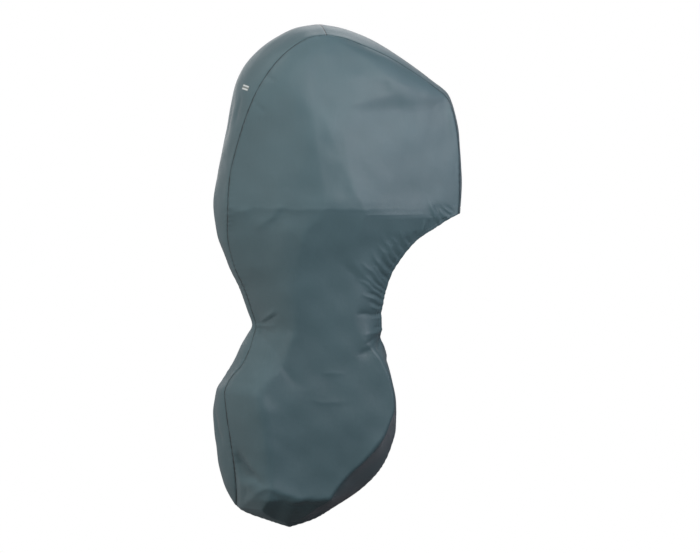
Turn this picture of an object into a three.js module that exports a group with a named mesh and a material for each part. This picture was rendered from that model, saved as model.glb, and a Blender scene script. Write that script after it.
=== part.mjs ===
import * as THREE from 'three';

// Outboard motor cover: a hollow fitted cloth cover with a gathered mouth at the front.
// Millimetres. +X is the front, +Y is port and +Z is up. The origin is on the inner face of the
// crown, from which the cover hangs. Every shape is made for the starboard side, at -Y, and the
// port side is its mirror image with folds of its own.

const CLOTH = 2; // thickness of the cloth
const HEM = 4.5; // thickness of the turned hem with its elastic
const HEM_WIDTH = 24;
const SEAM_GAP = 0.3; // left open between two sewn pieces
const FOLD_MARGIN = 34; // the folds die out within this distance of a seam
const LONGEST_TURNS = 0.88; // the two turns together, as a share of the panel's width in a short row
const POUCH_MIDDLE = { x: 0, z: -1350 }; // the closing seams run round this point

const LABEL = { down: 226, across: -0.62, length: 17, width: 38, thickness: 1.2 };

// The band's starboard seam, from the mouth over the crown and down the back to the bottom.
// half is the band's half width, and bulge is how far its middle stands out past the seam.
const BAND_SEAM = [
  { x: 470, z: -636, half: 198, bulge: 34 },
  { x: 474, z: -565, half: 198, bulge: 35 },
  { x: 474, z: -482, half: 197, bulge: 35 },
  { x: 470, z: -398, half: 195, bulge: 35 },
  { x: 461, z: -328, half: 192, bulge: 34 },
  { x: 436, z: -251, half: 184, bulge: 34 },
  { x: 388, z: -208, half: 176, bulge: 33 },
  { x: 314, z: -157, half: 168, bulge: 38 },
  { x: 234, z: -109, half: 160, bulge: 41 },
  { x: 153, z: -73, half: 155, bulge: 44 },
  { x: 80, z: -47, half: 151, bulge: 41 },
  { x: 27, z: -38, half: 150, bulge: 40 },
  { x: -24, z: -44, half: 153, bulge: 38 },
  { x: -88, z: -76, half: 155, bulge: 42 },
  { x: -139, z: -121, half: 152, bulge: 51 },
  { x: -179, z: -172, half: 148, bulge: 55 },
  { x: -211, z: -226, half: 142, bulge: 47 },
  { x: -237, z: -288, half: 134, bulge: 33 },
  { x: -257, z: -349, half: 124, bulge: 24 },
  { x: -280, z: -432, half: 116, bulge: 21 },
  { x: -297, z: -510, half: 114, bulge: 19 },
  { x: -304, z: -604, half: 115, bulge: 22 },
  { x: -299, z: -702, half: 80, bulge: 16 },
  { x: -273, z: -806, half: 54, bulge: 9 },
  { x: -235, z: -889, half: 44, bulge: 8 },
  { x: -207, z: -965, half: 32, bulge: 6 },
  { x: -193, z: -1013, half: 26, bulge: 5 },
  { x: -206, z: -1051, half: 45, bulge: 8 },
  { x: -224, z: -1093, half: 68, bulge: 14 },
  { x: -248, z: -1139, half: 74, bulge: 14 },
  { x: -288, z: -1192, half: 56, bulge: 3 },
  { x: -309, z: -1240, half: 74, bulge: 15 },
  { x: -305, z: -1302, half: 88, bulge: 29 },
  { x: -294, z: -1383, half: 96, bulge: 35 },
  { x: -281, z: -1467, half: 90, bulge: 35 },
  { x: -270, z: -1543, half: 72, bulge: 30 },
  { x: -262, z: -1596, half: 38, bulge: 13 },
  { x: -257, z: -1624, half: 4, bulge: 1 },
];
const CROWN_ROW = 11; // the row of BAND_SEAM where the cross seam on the crown is

// The starboard hem of the mouth, from the band's corner down to the closing seam.
const MOUTH_HEM = [
  { x: 470, z: -636, half: 198 },
  { x: 444, z: -649, half: 203 },
  { x: 389, z: -683, half: 203 },
  { x: 321, z: -727, half: 197 },
  { x: 275, z: -782, half: 187 },
  { x: 243, z: -843, half: 175 },
  { x: 222, z: -920, half: 163 },
  { x: 215, z: -995, half: 152 },
  { x: 219, z: -1046, half: 140 },
  { x: 234, z: -1088, half: 110 },
  { x: 249, z: -1120, half: 62 },
  { x: 256, z: -1134, half: 0 },
];

// The closing seam, in which the two side panels meet: in front from the mouth down to the
// bottom tip, and behind from the end of the band down to the same tip.
const FRONT_CLOSING = [
  { x: 256, z: -1134 },
  { x: 273, z: -1200 },
  { x: 290, z: -1260 },
  { x: 300, z: -1312 },
  { x: 299, z: -1372 },
  { x: 283, z: -1438 },
  { x: 251, z: -1505 },
  { x: 186, z: -1573 },
  { x: 79, z: -1642 },
  { x: 18, z: -1677 },
  { x: -62, z: -1702 },
];
const BACK_CLOSING = [
  { x: -257, z: -1624 },
  { x: -238, z: -1641 },
  { x: -156, z: -1675 },
  { x: -80, z: -1702 },
];

// The section of a side panel at each height. out is its greatest distance from the middle
// plane. It curves in over backTurn towards the back and frontTurn towards the front; a power
// of 2 is a round turn and a power near 1 a turn that starts at a crease.
const SIDE = [
  { z: -38, out: 150, backTurn: 70, backPower: 2, frontTurn: 60, frontPower: 2 },
  { z: -72, out: 178, backTurn: 90, backPower: 2, frontTurn: 80, frontPower: 2 },
  { z: -118, out: 203, backTurn: 115, backPower: 2, frontTurn: 100, frontPower: 2 },
  { z: -200, out: 230, backTurn: 160, backPower: 2, frontTurn: 150, frontPower: 1.9 },
  { z: -300, out: 244, backTurn: 210, backPower: 1.8, frontTurn: 390, frontPower: 1.3 },
  { z: -400, out: 254, backTurn: 260, backPower: 1.6, frontTurn: 420, frontPower: 1.2 },
  { z: -560, out: 266, backTurn: 300, backPower: 1.5, frontTurn: 375, frontPower: 1.12 },
  { z: -598, out: 268, backTurn: 300, backPower: 1.5, frontTurn: 352, frontPower: 1.12 },
  { z: -612, out: 268, backTurn: 298, backPower: 1.5, frontTurn: 345, frontPower: 1.12 },
  { z: -628, out: 265, backTurn: 295, backPower: 1.5, frontTurn: 335, frontPower: 1.15 },
  { z: -700, out: 247, backTurn: 260, backPower: 1.5, frontTurn: 270, frontPower: 1.4 },
  { z: -850, out: 216, backTurn: 210, backPower: 1.7, frontTurn: 160, frontPower: 1.8 },
  { z: -1014, out: 196, backTurn: 110, backPower: 2, frontTurn: 100, frontPower: 2 },
  { z: -1060, out: 193, backTurn: 120, backPower: 2, frontTurn: 80, frontPower: 2 },
  { z: -1136, out: 191, backTurn: 140, backPower: 2, frontTurn: 50, frontPower: 2 },
  { z: -1210, out: 190, backTurn: 150, backPower: 1.9, frontTurn: 38, frontPower: 1.9 },
  { z: -1288, out: 190, backTurn: 140, backPower: 1.9, frontTurn: 45, frontPower: 1.4 },
  { z: -1356, out: 189, backTurn: 135, backPower: 1.9, frontTurn: 68, frontPower: 1.15 },
  { z: -1424, out: 187, backTurn: 130, backPower: 1.9, frontTurn: 92, frontPower: 1.15 },
  { z: -1532, out: 183, backTurn: 110, backPower: 1.75, frontTurn: 135, frontPower: 1.15 },
  { z: -1584, out: 178, backTurn: 90, backPower: 1.5, frontTurn: 122, frontPower: 1.15 },
  { z: -1600, out: 164, backTurn: 80, backPower: 1.4, frontTurn: 112, frontPower: 1.15 },
  { z: -1702, out: 0, backTurn: 40, backPower: 1.15, frontTurn: 60, frontPower: 1.15 },
];

// The rows of cloth, from the crown to the bottom tip. Each section ends at a height on the back
// edge and one on the front edge of the side panel, and has this many rows of even depth.
const ROW_SECTIONS = [
  { back: -598, front: -598, rows: 20 },
  { back: -628, front: -628, rows: 2 },
  { back: -636, front: -636, rows: 1 },
  { back: -1134, front: -1134, rows: 29 },
  { back: -1584, front: -1584, rows: 14 },
  { back: -1624, front: -1624, rows: 2 },
  { back: -1702, front: -1702, rows: 4 },
];

// Where the columns of a side panel stand, as shares of its back turn, of the flat part between
// the two turns, and of its front turn.
const BACK_COLUMNS = [0, 0.1, 0.24, 0.4, 0.58, 0.78, 1];
const FLAT_COLUMNS = [0.2, 0.4, 0.6, 0.8];
const FRONT_COLUMNS = [1, 0.8, 0.6, 0.42, 0.24, 0.1, 0];
const BAND_COLUMNS = 6;

// The folds of the side panels: each a ridge, or a trough where depth is negative, along a path of
// x and z points. left and right are how far it reaches on the two sides of its path. start and end
// are the shares of its depth that are left at its two ends. A small crest is sharp, a large one round.
const MAIN_FOLDS = [
  { path: [[-45, -215], [-9, -294], [43, -419], [89, -535], [120, -600]],
    depth: 6, left: 120, right: 60, start: 0, end: 0.4, crest: 0.15 },
  { path: [[-160, -622], [-188, -680], [-197, -752], [-184, -836], [-176, -900], [-183, -990]],
    depth: -13, left: 100, right: 24, start: 0.4, end: 0.4, crest: 0.5 },
  { path: [[-10, -680], [0, -800], [-10, -960]],
    depth: 9, left: 75, right: 75, start: 0, end: 0, crest: 1.2 },
  { path: [[-146, -612], [-184, -652], [-232, -694]],
    depth: 5, left: 16, right: 22, start: 0.8, end: 0, crest: 0.5 },
  { path: [[-185, -1021], [-158, -1081], [-127, -1138], [-94, -1192], [-33, -1220]],
    depth: -5, left: 45, right: 18, start: 0.4, end: 0, crest: 0.5 },
  { path: [[224, -1052], [196, -1068], [168, -1088], [146, -1102], [110, -1112]],
    depth: -9, left: 20, right: 14, start: 0.9, end: 0, crest: 0.6 },
  { path: [[-222, -1150], [-226, -1224], [-208, -1300], [-187, -1398], [-187, -1485], [-202, -1545]],
    depth: 11, left: 45, right: 50, start: 0.3, end: 0.5, crest: 0.25 },
  { path: [[-290, -1440], [-247, -1490], [-205, -1522]],
    depth: -9, left: 16, right: 24, start: 0.4, end: 0, crest: 0.5 },
  { path: [[256, -1270], [229, -1353], [187, -1419], [132, -1472], [85, -1525], [31, -1582]],
    depth: 6, left: 30, right: 34, start: 0.3, end: 0.7, crest: 0.25 },
  { path: [[31, -1587], [-58, -1582], [-113, -1573], [-160, -1556], [-193, -1550], [-226, -1592]],
    depth: 10, left: 20, right: 30, start: 0.5, end: 0.6, crest: 0.2 },
];
const PORT_FOLDS = [
  { path: [[-30, -235], [20, -320], [62, -430], [104, -540], [130, -600]],
    depth: 5, left: 120, right: 70, start: 0, end: 0.4, crest: 0.2 },
  { path: [[-150, -620], [-182, -704], [-190, -805], [-178, -904], [-183, -985]],
    depth: -12, left: 95, right: 26, start: 0.4, end: 0.4, crest: 0.5 },
  { path: [[20, -690], [10, -810], [-20, -950]],
    depth: 8, left: 80, right: 80, start: 0, end: 0, crest: 1.2 },
  { path: [[-130, -612], [-178, -660], [-228, -700]],
    depth: 4.5, left: 16, right: 24, start: 0.8, end: 0, crest: 0.5 },
  { path: [[-183, -1024], [-150, -1088], [-112, -1150], [-60, -1196], [10, -1216]],
    depth: -5.5, left: 45, right: 18, start: 0.4, end: 0, crest: 0.5 },
  { path: [[220, -1046], [178, -1084], [140, -1100], [94, -1118]],
    depth: -8, left: 20, right: 14, start: 0.9, end: 0, crest: 0.6 },
  { path: [[-216, -1160], [-222, -1230], [-200, -1310], [-184, -1410], [-190, -1500], [-206, -1550]],
    depth: 8, left: 40, right: 60, start: 0.3, end: 0.5, crest: 0.35 },
  { path: [[-286, -1400], [-240, -1462], [-200, -1500]],
    depth: -7, left: 16, right: 26, start: 0.4, end: 0, crest: 0.5 },
  { path: [[258, -1280], [226, -1360], [182, -1426], [130, -1480], [80, -1530], [24, -1584]],
    depth: 5, left: 30, right: 34, start: 0.3, end: 0.7, crest: 0.25 },
  { path: [[24, -1586], [-70, -1580], [-130, -1570], [-190, -1556], [-233, -1596]],
    depth: 8, left: 22, right: 28, start: 0.7, end: 0.5, crest: 0.25 },
];
const CURVE_STEPS = 6; // of a fold's path between two of its points
const FOLD_FADE = 0.4; // share of its length over which a fold fades at an end

// The main gathers of the mouth's hem: each starts on the hem at this height, and runs back into the
// panel by its length while it climbs at the angle of rise.
const GATHERS = [
  { z: -676, rise: 62, length: 85, width: 12, depth: 4.5 },
  { z: -712, rise: 62, length: 70, width: 12, depth: -4 },
  { z: -762, rise: 48, length: 80, width: 12, depth: 4.5 },
  { z: -786, rise: 50, length: 80, width: 12, depth: -4 },
  { z: -812, rise: 52, length: 110, width: 12, depth: 5 },
  { z: -836, rise: 50, length: 92, width: 12, depth: -4.5 },
  { z: -860, rise: 52, length: 120, width: 12, depth: 5 },
  { z: -884, rise: 43, length: 140, width: 12, depth: 4.5 },
  { z: -906, rise: 34, length: 120, width: 12, depth: 4.5 },
  { z: -930, rise: 27, length: 94, width: 12, depth: -4.5 },
  { z: -974, rise: 2, length: 90, width: 12, depth: -6 },
  { z: -1020, rise: -18, length: 54, width: 12, depth: 4 },
];
const PORT_GATHER_SHIFT = 9; // the port side's gathers stand this much lower
const AT_HEM = 0.35; // share of a gather's depth on the hem itself

// The folds of the back band, as y and z points on its face.
const BAND_FOLDS = [
  { path: [[-12, -250], [0, -340], [5, -420]],
    depth: -5, left: 20, right: 20, start: 0, end: 0, crest: 0.5 },
  { path: [[68, -380], [33, -560]],
    depth: -5, left: 22, right: 22, start: 0, end: 0, crest: 0.5 },
  { path: [[8, -1270], [-30, -1350], [-66, -1430]],
    depth: -7.5, left: 18, right: 18, start: 0.4, end: 0, crest: 0.5 },
  { path: [[44, -1300], [18, -1480]],
    depth: -5, left: 22, right: 22, start: 0, end: 0, crest: 0.5 },
];

// The cloth's colour varies a little between the pieces, as it faces the light.
const COLOURS = {
  side_panel_starboard: 0x5e6f74,
  side_panel_port: 0x5b6c71,
  back_band: 0x667a80,
  front_band: 0x63767b,
  label: 0xd8dcda,
};

// Reads a table of rows by one rising key, with a smooth curve that never overshoots its rows.
class Table {
  constructor(rows, key) {
    this.keys = rows.map(key);
    this.columns = {};
    for (const name of Object.keys(rows[0])) {
      const values = rows.map((row) => row[name]);
      this.columns[name] = { values, slopes: smoothSlopes(this.keys, values) };
    }
    this.end = this.keys[this.keys.length - 1];
  }

  at(key) {
    const place = THREE.MathUtils.clamp(key, this.keys[0], this.end);
    let row = 0;
    while (row < this.keys.length - 2 && this.keys[row + 1] < place) row += 1;
    const step = this.keys[row + 1] - this.keys[row];
    const t = (place - this.keys[row]) / step;
    const result = {};
    for (const [name, column] of Object.entries(this.columns)) {
      result[name] = hermite(column, row, step, t);
    }
    return result;
  }
}

function smoothSlopes(keys, values) {
  const rates = [];
  for (let i = 0; i < keys.length - 1; i += 1) {
    rates.push((values[i + 1] - values[i]) / (keys[i + 1] - keys[i]));
  }
  const slopes = [rates[0]];
  for (let i = 1; i < rates.length; i += 1) {
    const turns = rates[i - 1] * rates[i] <= 0;
    slopes.push(turns ? 0 : (2 * rates[i - 1] * rates[i]) / (rates[i - 1] + rates[i]));
  }
  slopes.push(rates[rates.length - 1]);
  return slopes;
}

function hermite({ values, slopes }, row, step, t) {
  const rest = 1 - t;
  const start = values[row] * (1 + 2 * t) * rest * rest + slopes[row] * step * t * rest * rest;
  const stop = values[row + 1] * (3 - 2 * t) * t * t - slopes[row + 1] * step * t * t * rest;
  return start + stop;
}

// A line in space through the rows of a table, read by the distance along it.
class Line extends Table {
  constructor(rows) {
    const reach = [0];
    for (let i = 1; i < rows.length; i += 1) {
      const half = (rows[i].half ?? 0) - (rows[i - 1].half ?? 0);
      reach.push(reach[i - 1] + Math.hypot(rows[i].x - rows[i - 1].x, rows[i].z - rows[i - 1].z, half));
    }
    super(rows, (row) => reach[rows.indexOf(row)]);
  }

  // The distance along the line at which it falls to a height, found by halving.
  reachHeight(z) {
    let low = 0;
    let high = this.end;
    for (let i = 0; i < 40; i += 1) {
      const middle = (low + high) / 2;
      if (this.at(middle).z > z) low = middle;
      else high = middle;
    }
    return high;
  }
}

const side = new Table(SIDE, (row) => -row.z);
const closed = (rows) => rows.map((row) => ({ ...row, half: 0, bulge: 0 }));
const open = (rows) => rows.map((row) => ({ ...row, bulge: 0 }));
const middled = BAND_SEAM.map((row, index) => ({ ...row, ...middleOfBand(index) }));
const frontSeam = new Line(middled.slice(0, CROWN_ROW + 1).reverse());
const backSeam = new Line(middled.slice(CROWN_ROW));
const mouthHem = new Line(open(MOUTH_HEM));
const frontClosing = new Line(closed(FRONT_CLOSING));
const backClosing = new Line(closed(BACK_CLOSING));

// The middle of the band beside a row of its seam: square to the seam, by the bulge.
function middleOfBand(index) {
  const before = BAND_SEAM[Math.max(index - 1, 0)];
  const after = BAND_SEAM[Math.min(index + 1, BAND_SEAM.length - 1)];
  const row = BAND_SEAM[index];
  const length = Math.hypot(after.x - before.x, after.z - before.z);
  return {
    middleX: row.x + (row.bulge * (after.z - before.z)) / length,
    middleZ: row.z - (row.bulge * (after.x - before.x)) / length,
  };
}

// The points of one edge of a side panel, row by row, with the line that each lies on.
function edgeStations(lines, sectionHeight) {
  const stations = [{ line: lines[0], reach: 0 }];
  let which = 0;
  let from = 0;
  for (const section of ROW_SECTIONS) {
    const line = lines[which];
    const bottom = line.at(line.end).z;
    const ends = sectionHeight(section) <= bottom + 0.5;
    const to = ends ? line.end : line.reachHeight(sectionHeight(section));
    for (let i = 1; i <= section.rows; i += 1) {
      stations.push({ line, reach: from + ((to - from) * i) / section.rows });
    }
    from = ends ? 0 : to;
    which += ends ? 1 : 0;
  }
  return stations;
}

const backStations = edgeStations([backSeam, backClosing], (section) => section.back);
const frontStations = edgeStations([frontSeam, mouthHem, frontClosing], (section) => section.front);

// The panel starts a little below the crown, so that its first row has a width.
const FIRST_ROW_DROP = 3;
backStations[0].reach = FIRST_ROW_DROP;
frontStations[0].reach = FIRST_ROW_DROP;

const smooth = (t) => THREE.MathUtils.smoothstep(t, 0, 1);

// How far a point is from a path, and on which side of it: 1 on the left and -1 on the right.
function placeOnPath(path, x, z) {
  let place = { distance: Infinity, aside: 0 };
  for (let i = 0; i < path.length - 1; i += 1) {
    const wayX = path[i + 1].x - path[i].x;
    const wayZ = path[i + 1].y - path[i].y;
    const fromX = x - path[i].x;
    const fromZ = z - path[i].y;
    const length = Math.hypot(wayX, wayZ);
    const t = THREE.MathUtils.clamp((fromX * wayX + fromZ * wayZ) / length ** 2, 0, 1);
    const distance = Math.hypot(fromX - wayX * t, fromZ - wayZ * t);
    if (distance < place.distance) {
      const aside = (wayX * fromZ - wayZ * fromX) / (length * Math.max(distance, 1e-6));
      place = { distance, aside: THREE.MathUtils.clamp(aside, -1, 1) };
    }
  }
  return place;
}

// How much of a fold's depth is left at a point, as it fades towards its two ends.
function leftOfFold({ path, start, end }, x, z) {
  const [startX, startZ] = path[0];
  const [endX, endZ] = path[path.length - 1];
  const chord = { x: endX - startX, z: endZ - startZ };
  const along = ((x - startX) * chord.x + (z - startZ) * chord.z) / (chord.x ** 2 + chord.z ** 2);
  const fromStart = start + (1 - start) * smooth(along / FOLD_FADE);
  const fromEnd = end + (1 - end) * smooth((1 - along) / FOLD_FADE);
  return fromStart * fromEnd;
}

// How far a point is out or in by one fold.
function foldAt(fold, x, z) {
  const { distance, aside } = placeOnPath(fold.curve, x, z);
  const width = fold.right + ((fold.left - fold.right) * (1 + aside)) / 2;
  const profile = Math.exp(fold.crest - Math.hypot(distance / width, fold.crest));
  return fold.depth * leftOfFold(fold, x, z) * profile;
}

// A fold with a smooth curve through its points.
function curved(fold) {
  const spline = new THREE.SplineCurve(fold.path.map(([x, z]) => new THREE.Vector2(x, z)));
  return { ...fold, curve: spline.getPoints(CURVE_STEPS * (fold.path.length - 1)) };
}

function gatherFold({ z, rise, length, width, depth }, shift) {
  const hem = mouthHem.at(mouthHem.reachHeight(z - shift));
  const angle = THREE.MathUtils.degToRad(rise);
  const inner = [hem.x - length * Math.cos(angle), hem.z + length * Math.sin(angle)];
  return { path: [[hem.x, hem.z], inner], depth, left: width, right: width, start: AT_HEM, end: 0, crest: 0.7 };
}

const starboardFolds = [...MAIN_FOLDS, ...GATHERS.map((gather) => gatherFold(gather, 0))].map(curved);
const portFolds = [...PORT_FOLDS, ...GATHERS.map((gather) => gatherFold(gather, PORT_GATHER_SHIFT))].map(curved);
const bandFolds = BAND_FOLDS.map(curved);

// The two lengths of the band. outward is the sign that turns a grid's normals out of the cover.
const BACK_BAND = { line: backSeam, stations: backStations, folds: bandFolds, hemmed: false, outward: -1 };
const FRONT_BAND = { line: frontSeam, stations: frontStations, folds: [], hemmed: true, outward: 1 };

// The section of a row at a height. In a short row its two turns are narrower.
function sectionAt(z, span) {
  const section = side.at(-z);
  const squeeze = Math.min(1, (LONGEST_TURNS * span) / (section.backTurn + section.frontTurn));
  section.backTurn *= squeeze;
  section.frontTurn *= squeeze;
  return section;
}

// A point of the starboard panel's plain shape, between the ends of one row.
function panelPoint(back, front, x, z) {
  const { out: widest, backTurn, backPower, frontTurn, frontPower } = sectionAt(z, front.x - back.x);
  const fromBack = Math.max(0, 1 - (x - back.x) / backTurn) ** backPower;
  const fromFront = Math.max(0, 1 - (front.x - x) / frontTurn) ** frontPower;
  const out = widest - (widest - back.half) * fromBack - (widest - front.half) * fromFront;
  return new THREE.Vector3(x, -out, z);
}

function columnPlaces(back, front) {
  const span = front.x - back.x;
  const { backTurn, frontTurn } = sectionAt((back.z + front.z) / 2, span);
  const flat = span - backTurn - frontTurn;
  return [
    ...BACK_COLUMNS.map((share) => share * backTurn),
    ...FLAT_COLUMNS.map((share) => backTurn + share * flat),
    ...FRONT_COLUMNS.map((share) => span - share * frontTurn),
  ].map((distance) => distance / span);
}

function panelGrid() {
  return backStations.map((station, row) => {
    const back = station.line.at(station.reach);
    const front = frontStations[row].line.at(frontStations[row].reach);
    return columnPlaces(back, front).map((share) => {
      const x = THREE.MathUtils.lerp(back.x, front.x, share);
      const z = THREE.MathUtils.lerp(back.z, front.z, share);
      return panelPoint(back, front, x, z);
    });
  });
}

// The outward direction at each point of a grid, from its neighbours.
function gridNormals(grid, outward) {
  const lastRow = grid.length - 1;
  return grid.map((row, i) => row.map((point, j) => {
    const down = grid[Math.min(i + 1, lastRow)][j].clone().sub(grid[Math.max(i - 1, 0)][j]);
    const across = row[Math.min(j + 1, row.length - 1)].clone().sub(row[Math.max(j - 1, 0)]);
    return down.cross(across).multiplyScalar(outward).normalize();
  }));
}

// How much of a fold is left near the seams: all of it at the mouth's hem, none at a seam.
function foldShare(grid, row, column) {
  const point = grid[row][column];
  const fromBack = point.distanceTo(grid[row][0]);
  const fromFront = point.distanceTo(grid[row][grid[row].length - 1]);
  const station = frontStations[row];
  const fromHemEnd = Math.min(station.reach, mouthHem.end - station.reach);
  const margin = station.line === mouthHem ? Math.max(fromHemEnd, fromFront) : fromFront;
  return smooth(fromBack / FOLD_MARGIN) * smooth(margin / FOLD_MARGIN);
}

function foldedGrid(grid, folds) {
  const normals = gridNormals(grid, 1);
  return grid.map((row, i) => row.map((point, j) => {
    const depth = folds.reduce((sum, fold) => sum + foldAt(fold, point.x, point.z), 0);
    return point.clone().addScaledVector(normals[i][j], depth * foldShare(grid, i, j));
  }));
}

// The frame of a seam: mitre is the direction in which both pieces' edges are cut, and across
// points from the seam into the side panel.
function seamFrame(line, reach, panelNormal) {
  const here = line.at(reach);
  const before = line.at(Math.max(reach - 2, 0));
  const after = line.at(Math.min(reach + 2, line.end));
  const along = new THREE.Vector3(after.x - before.x, -(after.half - before.half), after.z - before.z);
  along.normalize();
  const flat = new THREE.Vector3(-along.z, 0, along.x);
  const outward = Math.sign(flat.x * (here.x - POUCH_MIDDLE.x) + flat.z * (here.z - POUCH_MIDDLE.z));
  let mitre = flat.multiplyScalar(outward).normalize();
  if (here.half > 0) {
    const toMiddle = new THREE.Vector3(2 * (here.middleX - here.x), here.half, 2 * (here.middleZ - here.z));
    const bandNormal = along.clone().cross(toMiddle).normalize();
    if (bandNormal.dot(panelNormal) < 0) bandNormal.negate();
    mitre = bandNormal.add(panelNormal).normalize();
  }
  const across = along.clone().cross(mitre).normalize();
  if (across.y > 0) across.negate();
  const depth = 1 / Math.max(mitre.dot(panelNormal), 0.6);
  return { mitre, across, depth };
}

// The frames of the rows of one edge of a side panel. A hem has none.
function edgeFrames(stations, normals, column) {
  return stations.map((station, row) => {
    if (station.line === mouthHem && station.reach < mouthHem.end) return null;
    const atMouthEnd = station.line === mouthHem;
    const line = atMouthEnd ? frontClosing : station.line;
    return seamFrame(line, atMouthEnd ? 0 : station.reach, normals[row][column]);
  });
}

// Thickness of the cloth at a distance from the mouth's hem.
function clothThickness(distance) {
  return HEM + (CLOTH - HEM) * smooth((distance - HEM_WIDTH / 2) / (HEM_WIDTH / 2));
}

// A closed sheet from a grid of outer points and one of inner points.
function sheetGeometry(outer, inner, outward) {
  const rows = outer.length;
  const columns = outer[0].length;
  const points = [...outer.flat(), ...inner.flat()];
  const index = (layer, row, column) => layer * rows * columns + row * columns + column;
  const triangles = [];
  const quad = (a, b, c, d) => {
    const corners = outward > 0 ? [a, b, c, a, c, d] : [a, c, b, a, d, c];
    triangles.push(...corners);
  };
  for (let i = 0; i < rows - 1; i += 1) {
    for (let j = 0; j < columns - 1; j += 1) {
      quad(index(0, i, j), index(0, i + 1, j), index(0, i + 1, j + 1), index(0, i, j + 1));
      quad(index(1, i, j), index(1, i, j + 1), index(1, i + 1, j + 1), index(1, i + 1, j));
    }
    const last = columns - 1;
    quad(index(1, i, 0), index(1, i + 1, 0), index(0, i + 1, 0), index(0, i, 0));
    quad(index(0, i, last), index(0, i + 1, last), index(1, i + 1, last), index(1, i, last));
  }
  for (let j = 0; j < columns - 1; j += 1) {
    const last = rows - 1;
    quad(index(0, 0, j), index(0, 0, j + 1), index(1, 0, j + 1), index(1, 0, j));
    quad(index(1, last, j), index(1, last, j + 1), index(0, last, j + 1), index(0, last, j));
  }
  const geometry = new THREE.BufferGeometry();
  geometry.setAttribute('position', new THREE.Float32BufferAttribute(points.flatMap((p) => p.toArray()), 3));
  geometry.setIndex(triangles);
  return geometry;
}

// A side panel's solid and the frames of its seams, for the starboard side.
function sidePanel(folds) {
  const plain = panelGrid();
  const outer = foldedGrid(plain, folds);
  const normals = gridNormals(outer, 1);
  const last = outer[0].length - 1;
  const back = edgeFrames(backStations, normals, 0);
  const front = edgeFrames(frontStations, normals, last);
  const frameAt = (row, column) => {
    if (row === 0) return column < last / 2 ? back[0] : front[0];
    return { 0: back[row], [last]: front[row] }[column];
  };
  const inner = outer.map((row, i) => row.map((point, j) => {
    const frame = frameAt(i, j);
    const direction = frame ? frame.mitre : normals[i][j];
    const fromHem = frontStations[i].line === mouthHem ? point.distanceTo(row[last]) : Infinity;
    const depth = clothThickness(fromHem) * (frame ? frame.depth : 1);
    return point.clone().addScaledVector(direction, -depth);
  }));
  outer.forEach((row, i) => row.forEach((point, j) => {
    const frame = frameAt(i, j);
    if (!frame) return;
    point.addScaledVector(frame.across, SEAM_GAP / 2);
    inner[i][j].addScaledVector(frame.across, SEAM_GAP / 2);
  }));
  keepOffMiddle(outer);
  keepOffMiddle(inner);
  return { geometry: sheetGeometry(outer, inner, 1), back, front };
}

function keepOffMiddle(grid) {
  for (const point of grid.flat()) point.y = Math.min(point.y, -SEAM_GAP / 2);
}

// A point of the band: across runs from -1 at the starboard seam to 1 at the port seam.
function bandPoint(line, reach, across) {
  const here = line.at(reach);
  const rise = 1 - across * across;
  return new THREE.Vector3(
    here.x + (here.middleX - here.x) * rise,
    here.half * across,
    here.z + (here.middleZ - here.z) * rise,
  );
}

function bandFoldDepth(folds, { half, z }, across) {
  const sum = folds.reduce((total, fold) => total + foldAt(fold, across * half, z), 0);
  return sum * smooth((1 - Math.abs(across)) * 3);
}

// One band from the cross seam on the crown along its line. Its seams with the two panels are cut
// by the frames of those panels, row by row.
function bandGeometry({ line, stations, folds, hemmed, outward }, starboard, port) {
  const reaches = [0, ...stations.filter((station) => station.line === line).map(({ reach }) => reach)];
  const places = Array.from({ length: BAND_COLUMNS + 1 }, (_, i) => -1 + (2 * i) / BAND_COLUMNS);
  const plain = reaches.map((reach) => places.map((across) => bandPoint(line, reach, across)));
  const plainNormals = gridNormals(plain, outward);
  const outer = plain.map((row, i) => row.map((point, j) => {
    const depth = bandFoldDepth(folds, line.at(reaches[i]), places[j]);
    return point.clone().addScaledVector(plainNormals[i][j], depth);
  }));
  const normals = gridNormals(outer, outward);
  const seams = { 0: starboard, [BAND_COLUMNS]: port };
  const inner = outer.map((row, i) => row.map((point, j) => {
    const fromHem = hemmed ? line.end - reaches[i] : Infinity;
    const normal = i === 0 ? crownNormal(normals[0][j]) : normals[i][j];
    const { mitre, depth } = seams[j] ? seams[j][i] : { mitre: normal, depth: 1 };
    return point.clone().addScaledVector(mitre, -clothThickness(fromHem) * depth);
  }));
  for (const [column, frames] of Object.entries(seams)) {
    frames.slice(0, outer.length).forEach(({ across }, i) => {
      outer[i][column].addScaledVector(across, -SEAM_GAP / 2);
      inner[i][column].addScaledVector(across, -SEAM_GAP / 2);
    });
  }
  for (const point of [...outer[0], ...inner[0]]) point.x += (outward * SEAM_GAP) / 2;
  return sheetGeometry(outer, inner, outward);
}

// On the crown's cross seam both bands are cut in the same upright plane.
function crownNormal(normal) {
  return new THREE.Vector3(0, normal.y, normal.z).normalize();
}

// The frame of a corner of the cross seam, which both bands share with the side panel.
function crownFrame(back, front) {
  const mitre = crownNormal(back.mitre.clone().add(front.mitre));
  return { mitre, across: back.across.clone().add(front.across).normalize(), depth: back.depth };
}

const mirrorY = (vector) => new THREE.Vector3(vector.x, -vector.y, vector.z);

function mirrorFrames(frames) {
  return frames.map((frame) => frame && {
    mitre: mirrorY(frame.mitre),
    across: mirrorY(frame.across),
    depth: frame.depth,
  });
}

function mirrorGeometry(geometry) {
  const mirrored = geometry.clone().scale(1, -1, 1);
  const index = mirrored.getIndex();
  for (let i = 0; i < index.count; i += 3) {
    const second = index.getX(i + 1);
    index.setX(i + 1, index.getX(i + 2));
    index.setX(i + 2, second);
  }
  return mirrored;
}

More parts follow.
